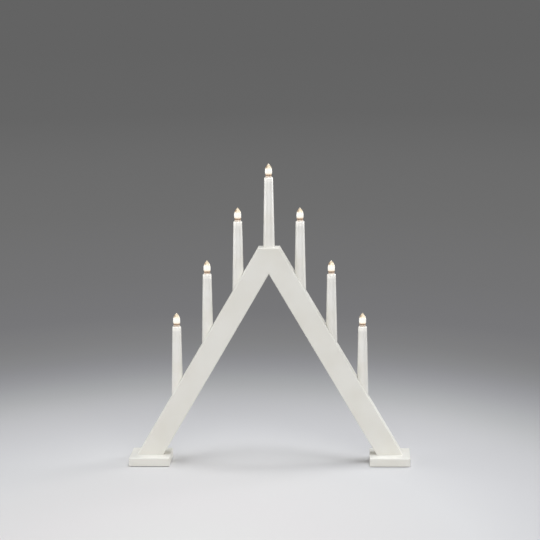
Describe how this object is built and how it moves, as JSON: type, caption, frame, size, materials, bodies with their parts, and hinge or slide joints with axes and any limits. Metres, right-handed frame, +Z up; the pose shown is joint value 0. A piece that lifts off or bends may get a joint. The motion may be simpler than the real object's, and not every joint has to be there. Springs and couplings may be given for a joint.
{
  "type": "electric candle arch",
  "caption": "Pointed wooden candle arch on flat feet: screw lamps in tapered sleeves step up the leaning arms to the apex, with the wiring grooved into the back.",
  "frame": {"origin": "on the surface that the arch stands on, under the apex, midway between the front and the back", "axes": "+X runs across the arch to the right as seen from the front, +Y from front to back, +Z up"},
  "size_m": [0.4718, 0.085, 0.5073],
  "materials": {
    "painted_wood": "satin",
    "painted_sleeve": "satin",
    "bare_wood": "matte",
    "felt": "matte",
    "steel": "satin",
    "brass": "satin",
    "holder_plastic": "matte",
    "wire_cover": "matte",
    "clear_plastic": "gloss",
    "lit_glass": "gloss",
    "filament": "satin"
  },
  "bodies": {
    "arch": {"left_arm": "painted_wood", "right_arm": "painted_wood", "left_foot": "painted_wood", "right_foot": "painted_wood", "foot_pads": "felt", "foot_screws": "steel", "apex_dowels": "bare_wood", "left_back_cover": "painted_wood", "right_back_cover": "painted_wood", "lamp_leads": "wire_cover", "splice_caps": "clear_plastic", "lamp_holders": "holder_plastic", "holder_shells": "brass", "candle_1": "painted_sleeve", "candle_2": "painted_sleeve", "candle_3": "painted_sleeve", "candle_4": "painted_sleeve", "candle_5": "painted_sleeve", "candle_6": "painted_sleeve", "candle_7": "painted_sleeve"},
    "contact_1": {"contact_1": "brass"},
    "bulb_1": {"bulb_1_glass": "lit_glass", "bulb_1_cap": "brass", "bulb_1_filament": "filament"},
    "contact_2": {"contact_2": "brass"},
    "bulb_2": {"bulb_2_glass": "lit_glass", "bulb_2_cap": "brass", "bulb_2_filament": "filament"},
    "contact_3": {"contact_3": "brass"},
    "bulb_3": {"bulb_3_glass": "lit_glass", "bulb_3_cap": "brass", "bulb_3_filament": "filament"},
    "contact_4": {"contact_4": "brass"},
    "bulb_4": {"bulb_4_glass": "lit_glass", "bulb_4_cap": "brass", "bulb_4_filament": "filament"},
    "contact_5": {"contact_5": "brass"},
    "bulb_5": {"bulb_5_glass": "lit_glass", "bulb_5_cap": "brass", "bulb_5_filament": "filament"},
    "contact_6": {"contact_6": "brass"},
    "bulb_6": {"bulb_6_glass": "lit_glass", "bulb_6_cap": "brass", "bulb_6_filament": "filament"},
    "contact_7": {"contact_7": "brass"},
    "bulb_7": {"bulb_7_glass": "lit_glass", "bulb_7_cap": "brass", "bulb_7_filament": "filament"}
  },
  "joints": [
    {"name": "bulb_1_turn", "type": "hinge", "parent": "arch", "child": "contact_1", "pos_m": [-0.15624, 0, 0.3], "axis": [0, 0, 1], "range_deg": [0, 1440]},
    {"name": "bulb_1_rise", "type": "slide", "parent": "contact_1", "child": "bulb_1", "axis": [0, 0, 1], "range_m": [0, 0.00724]},
    {"name": "bulb_2_turn", "type": "hinge", "parent": "arch", "child": "contact_2", "pos_m": [-0.10416, 0, 0.3], "axis": [0, 0, 1], "range_deg": [0, 1440]},
    {"name": "bulb_2_rise", "type": "slide", "parent": "contact_2", "child": "bulb_2", "axis": [0, 0, 1], "range_m": [0, 0.00724]},
    {"name": "bulb_3_turn", "type": "hinge", "parent": "arch", "child": "contact_3", "pos_m": [-0.05208, 0, 0.3], "axis": [0, 0, 1], "range_deg": [0, 1440]},
    {"name": "bulb_3_rise", "type": "slide", "parent": "contact_3", "child": "bulb_3", "axis": [0, 0, 1], "range_m": [0, 0.00724]},
    {"name": "bulb_4_turn", "type": "hinge", "parent": "arch", "child": "contact_4", "pos_m": [0, 0, 0.3], "axis": [0, 0, 1], "range_deg": [0, 1440]},
    {"name": "bulb_4_rise", "type": "slide", "parent": "contact_4", "child": "bulb_4", "axis": [0, 0, 1], "range_m": [0, 0.00724]},
    {"name": "bulb_5_turn", "type": "hinge", "parent": "arch", "child": "contact_5", "pos_m": [0.05208, 0, 0.3], "axis": [0, 0, 1], "range_deg": [0, 1440]},
    {"name": "bulb_5_rise", "type": "slide", "parent": "contact_5", "child": "bulb_5", "axis": [0, 0, 1], "range_m": [0, 0.00724]},
    {"name": "bulb_6_turn", "type": "hinge", "parent": "arch", "child": "contact_6", "pos_m": [0.10416, 0, 0.3], "axis": [0, 0, 1], "range_deg": [0, 1440]},
    {"name": "bulb_6_rise", "type": "slide", "parent": "contact_6", "child": "bulb_6", "axis": [0, 0, 1], "range_m": [0, 0.00724]},
    {"name": "bulb_7_turn", "type": "hinge", "parent": "arch", "child": "contact_7", "pos_m": [0.15624, 0, 0.3], "axis": [0, 0, 1], "range_deg": [0, 1440]},
    {"name": "bulb_7_rise", "type": "slide", "parent": "contact_7", "child": "bulb_7", "axis": [0, 0, 1], "range_m": [0, 0.00724]}
  ],
  "couplings": [
    {"joint": "bulb_1_turn", "follows": "bulb_1_rise", "rad_per_m": 3471.4},
    {"joint": "bulb_2_turn", "follows": "bulb_2_rise", "rad_per_m": 3471.4},
    {"joint": "bulb_3_turn", "follows": "bulb_3_rise", "rad_per_m": 3471.4},
    {"joint": "bulb_4_turn", "follows": "bulb_4_rise", "rad_per_m": 3471.4},
    {"joint": "bulb_5_turn", "follows": "bulb_5_rise", "rad_per_m": 3471.4},
    {"joint": "bulb_6_turn", "follows": "bulb_6_rise", "rad_per_m": 3471.4},
    {"joint": "bulb_7_turn", "follows": "bulb_7_rise", "rad_per_m": 3471.4}
  ]
}
